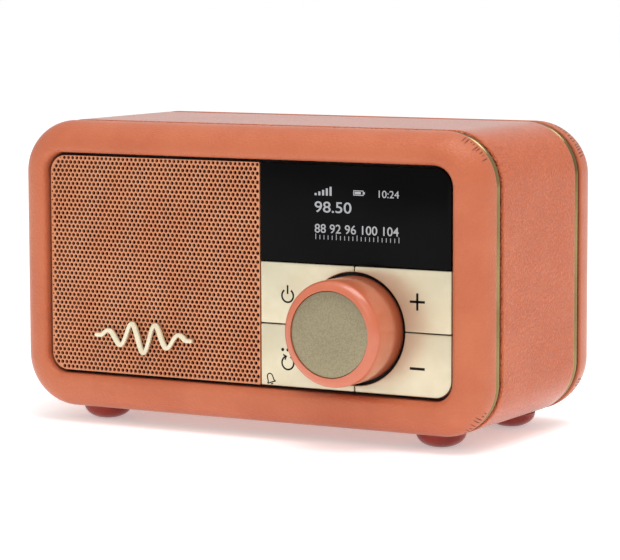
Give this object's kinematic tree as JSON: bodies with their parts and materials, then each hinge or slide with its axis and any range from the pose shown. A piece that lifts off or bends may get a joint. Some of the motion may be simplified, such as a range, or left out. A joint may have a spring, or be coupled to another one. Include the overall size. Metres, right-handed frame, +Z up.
{
  "type": "tabletop_portable_radio",
  "caption": "Small leather-covered portable radio with a padded front frame, perforated grille, black display, cream keys, a rotary knob, ball feet and a stowed rear aerial",
  "frame": {"origin": "under the middle of the whole radio, on the surface it stands on", "axes": "+X to the right of someone facing it, +Y towards its back, +Z up"},
  "size_m": [0.128, 0.0794, 0.0746],
  "materials": {
    "leathercloth": "coral leather-grain cloth, satin",
    "core_board": "moulded wood-fibre core, unfinished",
    "brass_trim": "thin gilt metal strip",
    "foot_lacquer": "glossy dark coral",
    "black_moulding": "fine matt",
    "grille_paint": "satin coral paint on perforated sheet",
    "speaker_cloth": "open black gauze",
    "cream_metal": "satin cream",
    "window_acrylic": "polished smoked black",
    "knob_gloss": "coral lacquer, soft gloss",
    "champagne_metal": "spun champagne",
    "steel": "turned or pressed",
    "bright_plating": "bright",
    "circuit_board": "green solder mask",
    "rubber_roll": "moulded",
    "cone_paper": "pressed black pulp",
    "cell_wrap": "shrink wrap"
  },
  "bodies": {
    "cabinet": {"front_leather_cover": "leathercloth", "side_leather_wrap": "leathercloth", "rear_leather_cover": "leathercloth", "front_frame_core": "core_board", "cabinet_core": "core_board", "rear_frame_core": "core_board", "front_trim_strip": "brass_trim", "rear_trim_strip": "brass_trim", "foot_front_left": "foot_lacquer", "foot_front_right": "foot_lacquer", "foot_rear_left": "foot_lacquer", "foot_rear_right": "foot_lacquer", "front_chassis": "black_moulding", "speaker_grille": "grille_paint", "grille_cloth": "speaker_cloth", "badge": "cream_metal", "display_window": "window_acrylic", "display_module": "black_moulding", "power_switch": "black_moulding", "menu_switch": "black_moulding", "volume_up_switch": "black_moulding", "volume_down_switch": "black_moulding", "control_board": "circuit_board", "encoder_body": "steel", "encoder_nut": "steel", "speaker_basket": "steel", "speaker_magnet": "steel", "speaker_surround": "rubber_roll", "rear_panel": "black_moulding", "panel_screw_1": "steel", "panel_screw_2": "steel", "panel_screw_3": "steel", "panel_screw_4": "steel", "radiator_guard": "grille_paint", "radiator_frame": "black_moulding", "radiator_surround": "rubber_roll", "usb_socket": "steel", "headphone_socket": "black_moulding", "main_board": "circuit_board", "tuner_shield": "steel", "battery_pack": "cell_wrap"},
    "knob_push": {"encoder_plunger": "steel"},
    "knob_turn": {"tuning_knob": "knob_gloss", "knob_cap": "champagne_metal", "encoder_shaft": "steel"},
    "power": {"power_key": "cream_metal"},
    "menu": {"menu_key": "cream_metal"},
    "volume_up": {"volume_up_key": "cream_metal"},
    "volume_down": {"volume_down_key": "cream_metal"},
    "cone": {"speaker_cone": "cone_paper"},
    "passive_plate": {"radiator_plate": "steel"},
    "aerial_base": {"aerial_turret": "bright_plating", "aerial_hinge_pin": "bright_plating"},
    "aerial_1": {"aerial_tube_1": "bright_plating"},
    "aerial_2": {"aerial_tube_2": "bright_plating"},
    "aerial_3": {"aerial_tube_3": "bright_plating"},
    "aerial_tip": {"aerial_tip_rod": "bright_plating"}
  },
  "joints": [
    {"name": "knob_press", "type": "slide", "parent": "cabinet", "child": "knob_push", "axis": [0, 1, 0], "range_m": [0, 0.0006], "stiffness_N_per_m": 2500},
    {"name": "knob_rotation", "type": "hinge", "parent": "knob_push", "child": "knob_turn", "pos_m": [0.02985, -0.03, 0.02805], "axis": [0, 1, 0], "continuous": true},
    {"name": "power_press", "type": "slide", "parent": "cabinet", "child": "power", "axis": [0, 1, 0], "range_m": [0, 0.0006], "stiffness_N_per_m": 1500},
    {"name": "menu_press", "type": "slide", "parent": "cabinet", "child": "menu", "axis": [0, 1, 0], "range_m": [0, 0.0006], "stiffness_N_per_m": 1500},
    {"name": "volume_up_press", "type": "slide", "parent": "cabinet", "child": "volume_up", "axis": [0, 1, 0], "range_m": [0, 0.0006], "stiffness_N_per_m": 1500},
    {"name": "volume_down_press", "type": "slide", "parent": "cabinet", "child": "volume_down", "axis": [0, 1, 0], "range_m": [0, 0.0006], "stiffness_N_per_m": 1500},
    {"name": "cone_travel", "type": "slide", "parent": "cabinet", "child": "cone", "axis": [0, 1, 0], "range_m": [-0.0004, 0.0004], "stiffness_N_per_m": 800},
    {"name": "passive_travel", "type": "slide", "parent": "cabinet", "child": "passive_plate", "axis": [0, 1, 0], "range_m": [-0.0003, 0.0003], "stiffness_N_per_m": 1000},
    {"name": "aerial_swivel", "type": "hinge", "parent": "cabinet", "child": "aerial_base", "pos_m": [0.041, 0.036, 0.0611], "axis": [0, 1, 0], "range_deg": [0, 180]},
    {"name": "aerial_tilt", "type": "hinge", "parent": "aerial_base", "child": "aerial_1", "pos_m": [0.041, 0.03735, 0.0611], "axis": [0, 0, -1], "range_deg": [0, 90]},
    {"name": "aerial_extend_1", "type": "slide", "parent": "aerial_1", "child": "aerial_2", "axis": [-1, 0, 0], "range_m": [0, 0.07]},
    {"name": "aerial_extend_2", "type": "slide", "parent": "aerial_2", "child": "aerial_3", "axis": [-1, 0, 0], "range_m": [0, 0.07]},
    {"name": "aerial_extend_3", "type": "slide", "parent": "aerial_3", "child": "aerial_tip", "axis": [-1, 0, 0], "range_m": [0, 0.07]}
  ]
}
